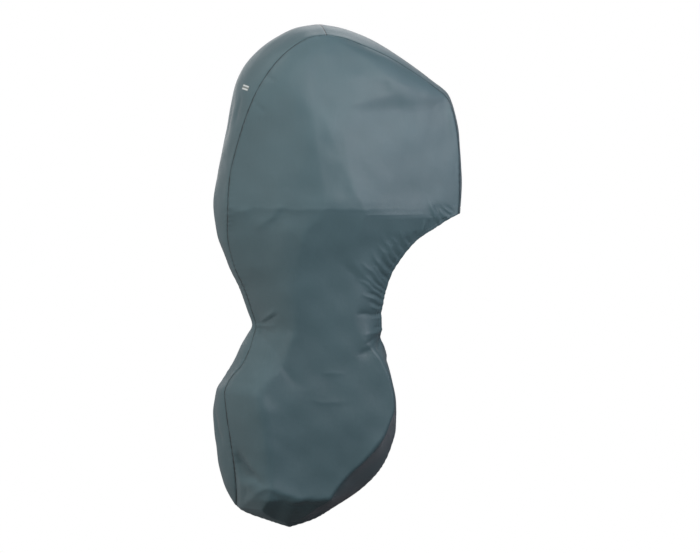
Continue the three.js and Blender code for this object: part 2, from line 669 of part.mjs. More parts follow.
// The label follows the band's face, a little off it.
function labelGeometry() {
  const steps = [0, 1 / 3, 2 / 3, 1];
  const reachStart = backSeam.reachHeight(-LABEL.down) - LABEL.length / 2;
  const half = backSeam.at(reachStart).half;
  const lift = (height) => steps.map((down) => steps.map((share) => {
    const reach = reachStart + down * LABEL.length;
    const across = LABEL.across + ((share - 0.5) * LABEL.width) / half;
    const point = bandPoint(backSeam, reach, across);
    const ahead = bandPoint(backSeam, reach + 1, across).sub(point);
    const aside = bandPoint(backSeam, reach, across + 0.01).sub(point);
    return point.addScaledVector(aside.cross(ahead).normalize(), height);
  }));
  return sheetGeometry(lift(SEAM_GAP + LABEL.thickness), lift(SEAM_GAP), -1);
}

function cover() {
  const starboard = sidePanel(starboardFolds);
  const port = sidePanel(portFolds);
  const crown = crownFrame(starboard.back[0], starboard.front[0]);
  const edgeOf = (panel, edge) => [crown, ...panel[edge]];
  const geometries = {
    side_panel_starboard: starboard.geometry,
    side_panel_port: mirrorGeometry(port.geometry),
    back_band: bandGeometry(BACK_BAND, edgeOf(starboard, 'back'), mirrorFrames(edgeOf(port, 'back'))),
    front_band: bandGeometry(FRONT_BAND, edgeOf(starboard, 'front'), mirrorFrames(edgeOf(port, 'front'))),
    label: labelGeometry(),
  };
  const group = new THREE.Group();
  for (const [name, geometry] of Object.entries(geometries)) {
    const material = new THREE.MeshStandardMaterial({ color: COLOURS[name], roughness: 0.7, metalness: 0 });
    const mesh = new THREE.Mesh(geometry, material);
    mesh.name = name;
    group.add(mesh);
  }
  return group;
}

export default cover();
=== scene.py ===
import math

import bpy
import numpy as np
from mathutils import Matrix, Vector

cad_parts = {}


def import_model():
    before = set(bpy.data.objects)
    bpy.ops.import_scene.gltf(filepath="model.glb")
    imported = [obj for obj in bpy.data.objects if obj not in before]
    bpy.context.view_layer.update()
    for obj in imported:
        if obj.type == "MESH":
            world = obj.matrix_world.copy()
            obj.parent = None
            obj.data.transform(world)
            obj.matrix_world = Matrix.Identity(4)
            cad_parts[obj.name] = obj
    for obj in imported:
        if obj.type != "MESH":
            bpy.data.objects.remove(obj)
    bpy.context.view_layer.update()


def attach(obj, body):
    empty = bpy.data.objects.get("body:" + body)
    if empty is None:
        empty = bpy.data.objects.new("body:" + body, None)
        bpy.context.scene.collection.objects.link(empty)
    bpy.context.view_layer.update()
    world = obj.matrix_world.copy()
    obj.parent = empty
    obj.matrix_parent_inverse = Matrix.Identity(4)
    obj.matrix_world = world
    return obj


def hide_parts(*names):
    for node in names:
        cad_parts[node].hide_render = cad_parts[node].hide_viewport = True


# Outboard motor cover: the looks of the cover, in metres, in the frame of its solids. Only the
# rows of tables and folds are in millimetres, as the solids are, and become metres.
# +X is the front, +Y is port and +Z is up. Every shape is made for the starboard side, at -Y,
# and the port side is its mirror image with folds of its own.

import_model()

MIRROR = np.array([1, -1, 1])  # turns starboard into port

# The cloth and its plain shape
CLOTH = 0.002  # thickness
HEM = 0.0045  # thickness of the turned hem with its elastic
HEM_WIDTH = 0.024
SEAM_GAP = 0.0003  # left open between two sewn pieces
LONGEST_TURNS = 0.88  # both turns of a short row, as a share of its width
POUCH_X = 0.0  # the closing seams run round this point
POUCH_Z = -1.35
FIRST_ROW_DROP = 0.003  # the panel starts a little below the crown
END_SLACK = 0.0005  # a row this near to a line's end is its end
HALVINGS = 40  # to find a height on a line
ROW_SAMPLES = 700  # points that measure a row's length
ENDS_SHARE = 0.3  # of a short row, for the close columns at one end
SEAM_STEP = 0.002  # either way along a seam, to read its direction
MITRE_REACH = 0.012  # over which a piece's own face turns into its cut edge
MITRE_LIMIT = 0.6  # so that a sharp mitre doesn't run far out
SHARP_ANGLE = math.radians(62)  # a mesh is smooth up to here

# Folds and waves
FOLD_MARGIN = 0.034  # the main folds die out within this distance of a seam
FINE_MARGIN = 0.006  # and the fine ones within this
WANDER = 0.0016  # how far the folds and creases wander off their paths, in waves of unlike lengths
CURVE_STEPS = 6  # of a fold's path between two of its points
FOLD_FADE = 0.4  # share of its length over which a fold fades at an end
FOLD_REACH = 5  # a fold ends at this many of its widths
FOLD_RUN_OUT = 2  # and dies out over this many
PORT_GATHER_SHIFT = 0.009  # the port side's gathers stand this much lower
AT_HEM = 0.35  # share of a gather's depth on the hem itself
GATHER_CREST = 0.7
PORT_WAVES = 2.4  # where the waves start
BAND_WAVES = 0.7

# Seams and hem
SEAM_DIP = 0.0020  # how far a seam is drawn in
SEAM_ROUND = 0.0035  # and over what distance
PUCKER = 0.0007  # height of the puckers beside a seam
PUCKER_LENGTH = 0.021
PUCKER_UNEVEN = 0.13  # over which their length swings
PUCKER_SWELL = 0.31  # and their height
PUCKER_REACH = 0.016
CROSS_SEAM_FADE = 0.004  # the cross seam's dip ends in the side seams
HEM_EDGE = 0.0013  # radius of the hem's rounded edge
HEM_GROOVE = 0.0009  # depth of the groove along its stitches
HEM_GROOVE_WIDTH = 0.0020
HEM_RIPPLE = 0.0007  # height of the ripples of its elastic
HEM_RIPPLE_LENGTH = 0.0135
HEM_RIPPLE_UNEVEN = 0.117
HEM_RIPPLE_SWELL = 0.071
HEM_RIPPLE_REACH = 0.045
HEM_FADE = 0.03  # over which a hem turns into the seam at its end
FRONT_HEM_START = 0.4  # where the front hem's ripples start

# Stitches
THREAD = 0.00034  # radius of the sewing thread
STITCH = 0.0034  # length of one stitch
STITCH_PITCH = 0.0046
STITCH_SIDES = 6
AHEAD = 0.001  # from a stitch's middle, to read its direction
TOPSTITCH = 0.006  # distance of the topstitching from its seam
HEM_STITCH = 0.0215
STITCHED_WIDTH = 0.04  # a narrower row of the panel has no topstitching

# Label
LABEL_DOWN = 0.226
LABEL_ACROSS = -0.62  # in half widths of the band
LABEL_LENGTH = 0.017
LABEL_WIDTH = 0.038
LABEL_THICKNESS = 0.0010
LABEL_ROWS = 35
LABEL_COLUMNS = 39
LABEL_BAR = 0.0048  # height of each of its two woven bars
LABEL_BAR_RISE = 0.0004
LABEL_BAR_PLACE = 0.0052  # from the label's middle line to a bar's
LABEL_BAR_END = 0.0022  # from the label's end to a bar's
LABEL_BAR_EDGE = 0.0006  # width of a bar's soft edge

# Looks
CLOTH_COLOUR = (0.0815, 0.146, 0.165)
THREAD_COLOUR = (0.070, 0.112, 0.122)
TAPE_COLOUR = (0.24, 0.27, 0.25)
TAPE_BAR_COLOUR = (0.80, 0.84, 0.83)
FLOOR_COLOUR = (0.86, 0.86, 0.85, 1)
THREAD_PERIOD = 0.0011  # two threads of the weave
TAPE_PERIOD = 0.0014

# Stage. Angles are in degrees round the cover: 0 is square to starboard, and -90 is aft.
CAMERA_AZIMUTH = -12
CAMERA_ELEVATION = 3
CAMERA_DISTANCE = 11.0
CAMERA_TARGET = Vector((0.1355, -0.0118, -0.852))
CAMERA_LENS = 166.7
FLOOR_SIZE = 3.2
FLOOR_HEIGHT = -2.35
FILL = 0.005  # light of the surroundings from the front, and from aft
AFT_FILL = 0.67
LIGHT_MIDDLE = Vector((0.0, 0.0, -0.4))
LIGHT_DISTANCE = 3.0
LIGHT_SIZE = 1.6
WHITE = (1.0, 1.0, 1.0)
LILAC = (1.04, 0.96, 1.08)
LIGHTS = [  # name, azimuth, elevation, power, colour
    ("high", -15, 40, 17, WHITE),
    ("aft", -45, 5, 8, WHITE),
    ("aft_high", -95, 50, 12, WHITE),
    ("top", 0, 75, 6.5, WHITE),
    ("middle", 20, 20, 26.5, WHITE),
    ("front", 38, 6, 22.5, LILAC),
    ("front_high", 40, 40, 7.5, LILAC),
    ("far_front", 70, 40, 5, LILAC),
    ("port_high", 160, 40, 19.3, WHITE),
    ("port", -170, 15, 12, WHITE),
    ("port_front", 120, 10, 3, WHITE),
]


def table(names, rows, plain=""):
    """Rows of numbers as named columns, in metres apart from the columns that are plain numbers."""
    columns = {name: np.array(column, float) for name, column in zip(names.split(), zip(*rows))}
    return {name: values if name in plain.split() else values / 1000 for name, values in columns.items()}


# The band's starboard seam, from the mouth over the crown and down the back to the bottom.
# half is the band's half width, and bulge is how far its middle stands out past the seam.
BAND_SEAM = table("x z half bulge", [
    (470, -636, 198, 34), (474, -565, 198, 35), (474, -482, 197, 35), (470, -398, 195, 35),
    (461, -328, 192, 34), (436, -251, 184, 34), (388, -208, 176, 33), (314, -157, 168, 38),
    (234, -109, 160, 41), (153, -73, 155, 44), (80, -47, 151, 41), (27, -38, 150, 40),
    (-24, -44, 153, 38), (-88, -76, 155, 42), (-139, -121, 152, 51), (-179, -172, 148, 55),
    (-211, -226, 142, 47), (-237, -288, 134, 33), (-257, -349, 124, 24), (-280, -432, 116, 21),
    (-297, -510, 114, 19), (-304, -604, 115, 22), (-299, -702, 80, 16), (-273, -806, 54, 9),
    (-235, -889, 44, 8), (-207, -965, 32, 6), (-193, -1013, 26, 5), (-206, -1051, 45, 8),
    (-224, -1093, 68, 14), (-248, -1139, 74, 14), (-288, -1192, 56, 3), (-309, -1240, 74, 15),
    (-305, -1302, 88, 29), (-294, -1383, 96, 35), (-281, -1467, 90, 35), (-270, -1543, 72, 30),
    (-262, -1596, 38, 13), (-257, -1624, 4, 1),
])
CROWN_ROW = 11  # the row where the cross seam on the crown is

# The starboard hem of the mouth, from the band's corner down to the closing seam.
MOUTH_HEM = table("x z half", [
    (470, -636, 198), (444, -649, 203), (389, -683, 203), (321, -727, 197), (275, -782, 187),
    (243, -843, 175), (222, -920, 163), (215, -995, 152), (219, -1046, 140), (234, -1088, 110),
    (249, -1120, 62), (256, -1134, 0),
])

# The closing seam, in which the two side panels meet: in front from the mouth down to the
# bottom tip, and behind from the end of the band down to the same tip.
FRONT_CLOSING = table("x z", [
    (256, -1134), (273, -1200), (290, -1260), (300, -1312), (299, -1372), (283, -1438), (251, -1505),
    (186, -1573), (79, -1642), (18, -1677), (-62, -1702),
])
BACK_CLOSING = table("x z", [
    (-257, -1624), (-238, -1641), (-156, -1675), (-80, -1702),
])

# The section of a side panel at each height. out is its greatest distance from the middle
# plane. It curves in over back_turn towards the back and front_turn towards the front; a power
# of 2 is a round turn and a power near 1 a turn that starts at a crease.
SIDE = table("z out back_turn back_power front_turn front_power", [
    (-38, 150, 70, 2.0, 60, 2.0),
    (-72, 178, 90, 2.0, 80, 2.0),
    (-118, 203, 115, 2.0, 100, 2.0),
    (-200, 230, 160, 2.0, 150, 1.9),
    (-300, 244, 210, 1.8, 390, 1.3),
    (-400, 254, 260, 1.6, 420, 1.2),
    (-560, 266, 300, 1.5, 375, 1.12),
    (-598, 268, 300, 1.5, 352, 1.12),
    (-612, 268, 298, 1.5, 345, 1.12),
    (-628, 265, 295, 1.5, 335, 1.15),
    (-700, 247, 240, 1.7, 270, 1.4),
    (-850, 216, 180, 2.1, 160, 1.8),
    (-1014, 196, 130, 2.4, 100, 2.0),
    (-1060, 193, 125, 2.3, 80, 2.0),
    (-1136, 191, 130, 2.2, 50, 2.0),
    (-1210, 190, 118, 1.9, 38, 1.9),
    (-1288, 190, 125, 1.9, 48, 1.4),
    (-1356, 189, 135, 1.9, 75, 1.15),
    (-1424, 187, 130, 1.9, 110, 1.12),
    (-1532, 183, 110, 1.75, 158, 1.12),
    (-1584, 178, 90, 1.5, 145, 1.12),
    (-1600, 164, 80, 1.4, 132, 1.12),
    (-1702, 0, 40, 1.15, 60, 1.15),
], plain="back_power front_power")

# The rows of the cloth's mesh, from the crown to the bottom tip: each section ends at a height
# and has this many rows of even depth.
ROW_SECTIONS = table("z rows", [
    (-601, 120), (-636, 16), (-1134, 188), (-1584, 96), (-1624, 12), (-1702, 28),
], plain="rows")
PANEL_COLUMNS = 148
BACK_BAND_COLUMNS = 60
FRONT_BAND_COLUMNS = 90

# Where the columns stand beside a seam and beside a hem, by their distance from it.
SEAM_STEPS = np.array([0, 1, 2.2, 3.8, 6, 9, 13, 18]) / 1000
HEM_STEPS = np.array([0, 1, 2.2, 4, 6.5, 9.5, 13, 16.5, 19.5, 21.5, 23.5, 26, 29, 33, 37]) / 1000


def fold(path, depth, width, other=None, start=0.0, end=0.0, crest=0.5):
    """A ridge, or a trough where depth is negative, along a path of points. width is how far it
    reaches on the left of its path and other on the right. start and end are the shares of its
    depth that are left at its two ends. A small crest is sharp and a large one round."""
    widths = (width / 1000, (other or width) / 1000)
    return dict(path=np.array(path) / 1000, depth=depth / 1000, widths=widths, ends=(start, end), crest=crest)


# The main folds of the side panels, as x and z points.
MAIN_FOLDS = [
    fold([(-45, -215), (-9, -294), (43, -419), (89, -535), (122, -605), (152, -680)], 6.5, 120, 60,
         crest=0.15),
    fold([(-160, -622), (-188, -680), (-197, -752), (-184, -836), (-176, -900), (-183, -990)], -6, 80, 30,
         start=0.4, end=0.4, crest=0.8),
    fold([(-146, -612), (-184, -652), (-232, -694)], 5, 10, 22, start=0.8),
    fold([(-185, -1021), (-158, -1081), (-127, -1138), (-94, -1192), (-33, -1220)], -5, 45, 16,
         start=0.4),
    fold([(224, -1052), (196, -1068), (168, -1088), (146, -1102), (110, -1112)], -7.5, 18, 12, start=0.9),
    fold([(215, -1085), (180, -1112), (130, -1130)], 2, 30, start=0.5, crest=1.0),
    fold([(215, -968), (166, -973), (110, -962)], -5, 9, start=0.8),
    fold([(214, -1005), (170, -1020), (130, -1022)], 2, 20, start=0.7, crest=1.0),
    fold([(220, -1040), (206, -1075), (190, -1110)], -3, 5, start=0.9),
    fold([(218, -1030), (180, -1058), (135, -1078)], -3.4, 5, start=0.9),
    fold([(218, -1022), (178, -1036), (140, -1040)], 2.6, 6, start=0.9),
    fold([(-222, -1150), (-226, -1224), (-208, -1300), (-187, -1398), (-187, -1485), (-202, -1545)], 11,
         45, 50, start=0.3, end=0.5, crest=0.25),
    fold([(-274, -1446), (-256, -1476), (-236, -1502), (-206, -1528)], -19, 20, 12, start=0.9, end=0.3,
         crest=0.4),
    fold([(-256, -1436), (-222, -1484), (-190, -1518)], 6, 14, start=0.6),
    fold([(-272, -1500), (-236, -1540), (-214, -1560)], 8, 16, start=0.8, end=0.4, crest=0.8),
    fold([(256, -1270), (229, -1353), (187, -1419), (132, -1472), (85, -1525), (31, -1582)], 6, 30, 34,
         start=0.3, end=0.7, crest=0.25),
    fold([(31, -1587), (-58, -1582), (-113, -1573), (-160, -1556), (-193, -1550), (-226, -1592),
         (-244, -1622)], 10, 20, 30, start=0.5, end=0.6, crest=0.2),
]
PORT_FOLDS = [
    fold([(-30, -235), (20, -320), (62, -430), (104, -540), (130, -600)], 6, 120, 70, end=0.4, crest=0.2),
    fold([(-150, -620), (-182, -704), (-190, -805), (-178, -904), (-183, -985)], -12, 95, 26, start=0.4,
         end=0.4),
    fold([(20, -690), (10, -810), (-20, -950)], 8, 80, crest=1.2),
    fold([(-130, -612), (-178, -660), (-228, -700)], 4.5, 10, 24, start=0.8),
    fold([(-183, -1024), (-150, -1088), (-112, -1150), (-60, -1196), (10, -1216)], -5.5, 45, 18,
         start=0.4),
    fold([(220, -1046), (178, -1084), (140, -1100), (94, -1118)], -8, 10, 22, start=0.9, crest=0.6),
    fold([(216, -986), (160, -990), (118, -980)], -6, 8, 13, start=0.8),
    fold([(216, -1012), (150, -1020)], 5, 22, start=0.7, crest=1.0),
    fold([(-216, -1160), (-222, -1230), (-200, -1310), (-184, -1410), (-190, -1500), (-206, -1550)], 8,
         40, 60, start=0.3, end=0.5, crest=0.35),
    fold([(-286, -1400), (-240, -1462), (-200, -1500)], -7, 12, 26, start=0.4),
    fold([(258, -1280), (226, -1360), (182, -1426), (130, -1480), (80, -1530), (24, -1584)], 5, 30, 34,
         start=0.3, end=0.7, crest=0.25),
    fold([(24, -1586), (-70, -1580), (-130, -1570), (-190, -1556), (-233, -1596)], 4, 22, 26, start=0.7,
         end=0.4, crest=0.25),
]

# The gathers of the mouth's hem: each starts on the hem at this height, and runs back into the
# panel by its length while it climbs at the angle of rise.
GATHERS = table("z rise length width depth", [
    (-640, 40, 60, 3.4, -2.0), (-645, 44, 55, 3.0, 2.2), (-651, 46, 72, 3.0, -2.6),
    (-657, 50, 60, 3.2, 2.6), (-664, 56, 86, 3.6, -3.2), (-672, 60, 110, 4.5, 4.4),
    (-680, 68, 60, 3.8, -3.0), (-696, 78, 46, 4.0, -2.6), (-708, 86, 60, 3.2, 2.4),
    (-724, 72, 40, 3.4, -2.2), (-742, 60, 45, 3.4, -2.6), (-752, 62, 76, 3.2, 3.2),
    (-766, 52, 50, 3.4, -2.6), (-776, 54, 88, 3.6, 3.0), (-788, 50, 60, 3.6, -2.8),
    (-800, 55, 130, 4.6, 3.4), (-812, 49, 66, 3.6, -3.0), (-822, 53, 118, 4.0, 3.4),
    (-834, 50, 80, 3.8, -3.4), (-844, 46, 92, 3.6, 3.0), (-856, 52, 140, 4.2, 3.4),
    (-864, 45, 70, 3.4, -3.2), (-874, 47, 104, 3.6, 2.8), (-885, 42, 150, 4.4, 3.6),
    (-893, 38, 80, 3.2, -3.4), (-901, 36, 110, 3.4, 3.0), (-909, 31, 74, 3.2, -3.4),
    (-917, 33, 130, 3.8, 3.0), (-925, 25, 80, 3.2, -3.4), (-934, 51, 230, 10.0, 2.2),
    (-936, 22, 100, 3.6, 2.8), (-946, 16, 70, 3.4, -3.4), (-956, 11, 60, 3.4, 2.4),
    (-984, 2, 50, 3.6, 2.0), (-1010, -10, 46, 3.6, -2.2), (-1066, -36, 46, 3.6, -2.6),
], plain="rise")

# The fine folds of the starboard side, which are too small for its solid.
FINE_FOLDS = [
    fold([(-185, -166), (-150, -196)], -2, 6, start=0.8),
    fold([(-214, -262), (-186, -304)], -2, 8, start=0.6),
    fold([(206, -176), (209, -205), (212, -246)], -3, 14, 20, crest=1.0),
    fold([(95, -168), (150, -176)], 1.4, 10, crest=1.0),
    fold([(402, -236), (430, -270), (446, -306)], -3.2, 13, crest=1.0),
    fold([(440, -262), (446, -330), (448, -400)], 2.2, 8),
    fold([(-190, -1004), (-167, -991), (-138, -962)], -3.4, 5, start=1.0),
    fold([(-190, -1018), (-150, -1032)], -3.4, 5, start=1.0),
    fold([(-190, -1008), (-145, -940)], 3.4, 6, start=0.8),
    fold([(-190, -1011), (-140, -1008)], 2.8, 5, start=0.8),
    fold([(-188, -1024), (-176, -1062)], -2.4, 5, start=0.8),
    fold([(-12, -1163), (40, -1166), (92, -1172)], 1.6, 10, 6),
    fold([(-60, -1256), (30, -1264), (125, -1263)], 1.4, 10, 6),
    fold([(-274, -1466), (-240, -1540), (-238, -1595)], -3, 8, start=0.6, end=0.6),
    fold([(-180, -1553), (-103, -1600), (2, -1611)], -3, 10, start=0.6, end=0.6),
    fold([(-281, -626), (-228, -621)], 2.6, 12, start=0.6),
    fold([(50, -780), (110, -840), (160, -900)], -2.4, 14, crest=1.0),
    fold([(-80, -640), (-100, -760), (-96, -880)], -3, 18, crest=1.0),
]

# The folds of the back band, as y and z points on its face.
BAND_FOLDS = [
    fold([(-12, -250), (0, -340), (5, -420)], -5, 18),
    fold([(68, -380), (33, -560)], -5, 22),
    fold([(-68, -230), (-72, -300), (-66, -350)], -4, 10, 18),
    fold([(8, -1270), (-30, -1350), (-66, -1430)], -7.5, 18, start=0.4),
    fold([(44, -1300), (18, -1480)], -5, 22),
]

# The cloth is nowhere quite even: long low waves that run at these angles, as seen from the side.
WAVES = table("length angle height start", [
    (310, 64, 1.1, 0.4),
    (230, -38, 1.0, 2.1),
    (170, 21, 0.7, 1.2),
    (120, -72, 0.5, 3.0),
    (83, 47, 0.3, 0.9),
    (61, -15, 0.2, 2.6),
], plain="angle start")

# A stitch is four rings of points along it: along is in half lengths of the stitch, and size
# and lift are in radii of the thread.
STITCH_RINGS = table("along size lift", [
    (-1.00, 0.45, -0.6),
    (-0.62, 1.00, 0.5),
    (0.62, 1.00, 0.5),
    (1.00, 0.45, -0.6),
], plain="along size lift")


def smooth_slopes(keys, values):
    """Slopes for a curve that never overshoots its rows."""
    rates = np.diff(values) / np.diff(keys)
    before, after = rates[:-1], rates[1:]
    turns = before * after <= 0
    total = np.where(turns, 1.0, before + after)
    middle = np.where(turns, 0.0, 2 * before * after / total)
    return np.concatenate([rates[:1], middle, rates[-1:]])


class Table:
    """Rows read by one rising key, with a smooth curve."""

    def __init__(self, columns, keys):
        self.keys = keys
        self.end = keys[-1]
        self.columns = {name: (values, smooth_slopes(keys, values)) for name, values in columns.items()}

    def at(self, key):
        place = np.clip(key, self.keys[0], self.end)
        row = np.clip(np.searchsorted(self.keys, place) - 1, 0, len(self.keys) - 2)
        step = self.keys[row + 1] - self.keys[row]
        t = (place - self.keys[row]) / step
        return {name: self.hermite(name, row, step, t) for name in self.columns}

    def hermite(self, name, row, step, t):
        values, slopes = self.columns[name]
        rest = 1 - t
        start = values[row] * (1 + 2 * t) * rest**2 + slopes[row] * step * t * rest**2
        stop = values[row + 1] * (3 - 2 * t) * t**2 - slopes[row + 1] * step * t**2 * rest
        return start + stop


def distances_along(grid):
    """How far each point of a line, or of each row of a grid, is from the first one."""
    steps = np.linalg.norm(np.diff(grid, axis=-2), axis=-1)
    return np.insert(np.cumsum(steps, axis=-1), 0, 0, axis=-1)


class Line(Table):
    """A line in space through the rows of a table, read by the distance along it. A hem or closing
    seam has no band beside it, and a closing seam has no half width."""

    def __init__(self, columns, rows=slice(None)):
        nothing = np.zeros_like(columns["x"])
        columns = dict(half=nothing, middle_x=nothing, middle_z=nothing) | columns
        columns = {name: values[rows] for name, values in columns.items()}
        corners = np.stack([columns[name] for name in ("x", "z", "half")], axis=-1)
        super().__init__(columns, distances_along(corners))

    def reach_of_height(self, z):
        """The distance along the line at which it falls to a height, found by halving."""
        low, high = 0.0, self.end
        for _ in range(HALVINGS):
            middle = (low + high) / 2
            if self.at(middle)["z"] > z:
                low = middle
            else:
                high = middle
        return high


def with_middles(seam):
    """A seam's rows with the middle of the band beside them: square to the seam, by the bulge."""
    along_x, along_z = np.gradient(seam["x"]), np.gradient(seam["z"])
    out = seam["bulge"] / np.hypot(along_x, along_z)
    return dict(seam, middle_x=seam["x"] + out * along_z, middle_z=seam["z"] - out * along_x)


band_seam = with_middles(BAND_SEAM)
front_seam = Line(band_seam, slice(CROWN_ROW, None, -1))
back_seam = Line(band_seam, slice(CROWN_ROW, None))
mouth_hem = Line(MOUTH_HEM)
front_closing = Line(FRONT_CLOSING)
back_closing = Line(BACK_CLOSING)
side = Table(SIDE, -SIDE["z"])


def unit(vectors):
    return vectors / np.maximum(np.linalg.norm(vectors, axis=-1, keepdims=True), 1e-12)


def points(x, y, z):
    return np.stack(np.broadcast_arrays(x, y, z), axis=-1)


def dot(a, b):
    return np.sum(a * b, axis=-1)


def smooth(t):
    t = np.clip(t, 0, 1)
    return t * t * (3 - 2 * t)


def bell(t):
    return np.exp(-(t**2))


def swing(reach, length):
    return np.sin(2 * math.pi * reach / length)


class Edge:
    """One edge of the side panel, row by row: the line that each row's end lies on, and where."""

    def __init__(self, lines):
        which, reach = [0], [FIRST_ROW_DROP]
        current, start = 0, 0.0
        for height, rows in zip(ROW_SECTIONS["z"], ROW_SECTIONS["rows"].astype(int)):
            line = lines[current]
            ends = height <= line.at(line.end)["z"] + END_SLACK
            stop = line.end if ends else line.reach_of_height(height)
            which += [current] * rows
            reach += list(start + (stop - start) * np.arange(1, rows + 1) / rows)
            start = 0.0 if ends else stop
            current += int(ends)
        self.lines = lines
        self.which = np.array(which)
        self.reach = np.array(reach)
        self.at = self.read(0.0)

    def read(self, shift):
        """The lines' columns at each row, or a little before or past it."""
        found = {}
        for number, line in enumerate(self.lines):
            rows = self.which == number
            place = np.clip(self.reach[rows] + shift, 0, line.end)
            for name, values in line.at(place).items():
                found.setdefault(name, np.zeros(len(self.reach)))[rows] = values
        return found

    def on(self, line):
        return self.which == self.lines.index(line)


back_edge = Edge([back_seam, back_closing])
front_edge = Edge([front_seam, mouth_hem, front_closing])
ROWS = len(back_edge.reach)
on_hem = front_edge.on(mouth_hem)[:, None]


def panel_point(share):
    """Points of the starboard panel's plain shape, at shares of the way along each row."""
    back = {name: values[:, None] for name, values in back_edge.at.items()}
    front = {name: values[:, None] for name, values in front_edge.at.items()}
    span = front["x"] - back["x"]
    x = back["x"] + span * share
    z = back["z"] + (front["z"] - back["z"]) * share
    section = side.at(-z + WANDER * (np.sin(x * 31 + 0.6) + np.sin(x * 83)))
    squeeze = np.minimum(1, LONGEST_TURNS * span / (section["back_turn"] + section["front_turn"]))
    from_back = np.maximum(0, 1 - (x - back["x"]) / (section["back_turn"] * squeeze))
    from_front = np.maximum(0, 1 - (front["x"] - x) / (section["front_turn"] * squeeze))
    in_back = (section["out"] - back["half"]) * from_back ** section["back_power"]
    in_front = (section["out"] - front["half"]) * from_front ** section["front_power"]
    return points(x, in_back + in_front - section["out"], z)


def band_point(line, reach, share):
    """Points of a band's plain shape, at shares of the way from its starboard to its port seam."""
    here = line.at(reach)
    across = 2 * share - 1
    rise = 1 - across**2
    x = here["x"] + (here["middle_x"] - here["x"]) * rise
    z = here["z"] + (here["middle_z"] - here["z"]) * rise
    return points(x, here["half"] * across, z)


def even_columns(shape, rows, count, first_steps, last_steps):
    """Columns at even distances along each row, but closer together at its two ends."""
    samples = (1 - np.cos(np.linspace(0, math.pi, ROW_SAMPLES))) / 2
    along = distances_along(shape(np.broadcast_to(samples, (rows, ROW_SAMPLES))))
    length = along[:, -1]
    middle = count + 1 - len(first_steps) - len(last_steps)
    share, distance = [], []
    for row in range(rows):
        squeeze = min(1.0, ENDS_SHARE * length[row] / max(first_steps[-1], last_steps[-1]))
        first = first_steps * squeeze
        last = length[row] - last_steps[::-1] * squeeze
        between = np.linspace(first[-1], last[0], middle + 2)[1:-1]
        places = np.concatenate([first, between, last])
        distance.append(places)
        share.append(np.interp(places, along[row], samples))
    return np.array(share), np.array(distance), length[:, None]


def grid_normals(grid, outward):
    down = np.gradient(grid, axis=0)
    across = np.gradient(grid, axis=1)
    return unit(np.cross(down, across)) * outward


def seam_frames(edge, panel_normals):
    """Where both pieces' edges are cut at a seam: mitre is the direction of the cut, and across
    points from the seam into the side panel."""
    here, before, after = edge.at, edge.read(-SEAM_STEP), edge.read(SEAM_STEP)
    along = unit(points(after["x"] - before["x"], before["half"] - after["half"], after["z"] - before["z"]))
    flat = unit(points(-along[:, 2], 0.0, along[:, 0]))
    outward = np.sign(flat[:, 0] * (here["x"] - POUCH_X) + flat[:, 2] * (here["z"] - POUCH_Z))
    to_middle = points(2 * (here["middle_x"] - here["x"]), here["half"], 2 * (here["middle_z"] - here["z"]))
    band_normal = unit(np.cross(along, to_middle))
    band_normal *= np.sign(dot(band_normal, panel_normals))[:, None]
    banded = (here["half"] > 0)[:, None]
    mitre = np.where(banded, unit(band_normal + panel_normals), flat * outward[:, None])
    across = unit(np.cross(along, mitre))
    across *= np.where(across[:, 1] > 0, -1, 1)[:, None]
    depth = 1 / np.maximum(dot(mitre, panel_normals), MITRE_LIMIT)
    return dict(mitre=mitre, across=across, depth=depth[:, None])


def curved(path):
    """A path with a smooth curve through its points."""
    before = np.concatenate([2 * path[:1] - path[1:2], path[:-2]])
    after = np.concatenate([path[2:], 2 * path[-1:] - path[-2:-1]])
    t = (np.arange(CURVE_STEPS) / CURVE_STEPS)[None, :, None]
    a, b, c, d = before[:, None], path[:-1, None], path[1:, None], after[:, None]
    curve = b + t * ((c - a) + t * ((2 * a - 5 * b + 4 * c - d) + t * (3 * b - a - 3 * c + d))) / 2
    return np.concatenate([curve.reshape(-1, 2), path[-1:]])


def place_on_path(path, x, z):
    """For each point its distance from a path, and its side: 1 on the left and -1 on the right."""
    nearest = np.full_like(x, np.inf)
    aside = np.zeros_like(x)
    for start, stop in zip(path[:-1], path[1:]):
        way = stop - start
        from_x, from_z = x - start[0], z - start[1]
        t = np.clip((from_x * way[0] + from_z * way[1]) / dot(way, way), 0, 1)
        distance = np.hypot(from_x - way[0] * t, from_z - way[1] * t) + 1e-9
        leaning = (way[0] * from_z - way[1] * from_x) / (np.hypot(*way) * distance)
        closer = distance < nearest
        nearest = np.where(closer, distance, nearest)
        aside = np.where(closer, leaning, aside)
    return nearest, np.clip(aside, -1, 1)


def left_of_fold(item, path, x, z):
    """How much of a fold's depth is left at each point, as it fades towards its two ends."""
    start, end = item["ends"]
    chord = path[-1] - path[0]
    along = ((x - path[0, 0]) * chord[0] + (z - path[0, 1]) * chord[1]) / dot(chord, chord)
    from_start = start + (1 - start) * smooth(along / FOLD_FADE)
    from_end = end + (1 - end) * smooth((1 - along) / FOLD_FADE)
    return from_start * from_end


